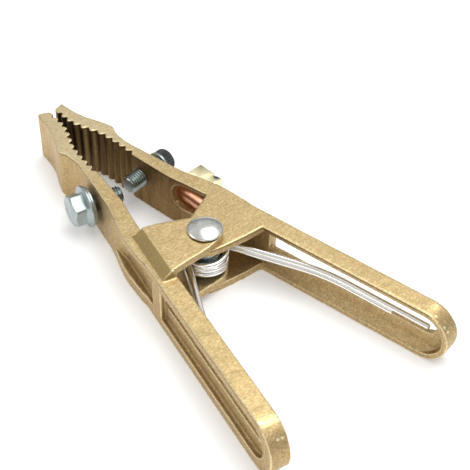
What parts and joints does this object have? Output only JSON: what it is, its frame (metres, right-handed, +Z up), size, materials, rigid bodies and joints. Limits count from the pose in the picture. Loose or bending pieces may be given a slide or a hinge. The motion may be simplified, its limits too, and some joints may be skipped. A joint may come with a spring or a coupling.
{
  "type": "welding ground clamp",
  "caption": "Cast brass welding ground clamp: two toothed jaws with long open handles on a riveted pivot, torsion springs, lug bolts and a copper cable sleeve.",
  "frame": {"origin": "pivot axis where it meets the resting plane under the arms", "axes": "+X along the clamp towards the handle ends, +Y towards the right arm, +Z up along the pivot axis, away from the resting plane"},
  "size_m": [0.2048, 0.0934, 0.0305],
  "materials": {
    "cast_brass": "sand-cast sides, ground and brushed rims",
    "pale_brass": "machined, satin",
    "zinc_bright": "bright zinc plate",
    "spring_wire": "bright nickel-plated wire",
    "copper": "bare copper tube, satin",
    "black_cap": "black moulded, knurled",
    "black_steel": "black oxide"
  },
  "bodies": {
    "right_arm": {"right_arm": "cast_brass", "pivot_rivet": "zinc_bright", "rivet_tail_washer": "zinc_bright", "pivot_sleeve": "zinc_bright", "spring_upper": "spring_wire", "spring_lower": "spring_wire", "cable_sleeve": "copper", "sleeve_block": "pale_brass", "block_screws": "black_steel", "block_spring_washers": "zinc_bright"},
    "left_arm": {"left_arm": "cast_brass"},
    "left_bolt": {"left_lug_bolt": "zinc_bright", "left_lug_washer": "zinc_bright"},
    "right_screw": {"right_lug_screw": "zinc_bright", "right_screw_cap": "black_cap", "right_screw_washer": "zinc_bright"},
    "set_screw": {"sleeve_set_screw": "black_steel"}
  },
  "joints": [
    {"name": "jaw_pivot", "type": "hinge", "parent": "right_arm", "child": "left_arm", "pos_m": [0, 0, 0.012], "axis": [0, 0, 1], "range_deg": [0, 32], "stiffness_Nm_per_rad": 4.4, "springref_deg": -51.57, "deforming": ["spring_upper", "spring_lower"]},
    {"name": "left_bolt_travel", "type": "slide", "parent": "left_arm", "child": "left_bolt", "axis": [-0.1736, -0.9848, 0], "range_m": [-0.001, 0.005]},
    {"name": "right_screw_travel", "type": "slide", "parent": "right_arm", "child": "right_screw", "axis": [-0.1736, 0.9848, 0], "range_m": [-0.001, 0.006]},
    {"name": "set_screw_travel", "type": "slide", "parent": "right_arm", "child": "set_screw", "axis": [-0.0483, 0.6138, 0.788], "range_m": [0, 0.002]}
  ]
}
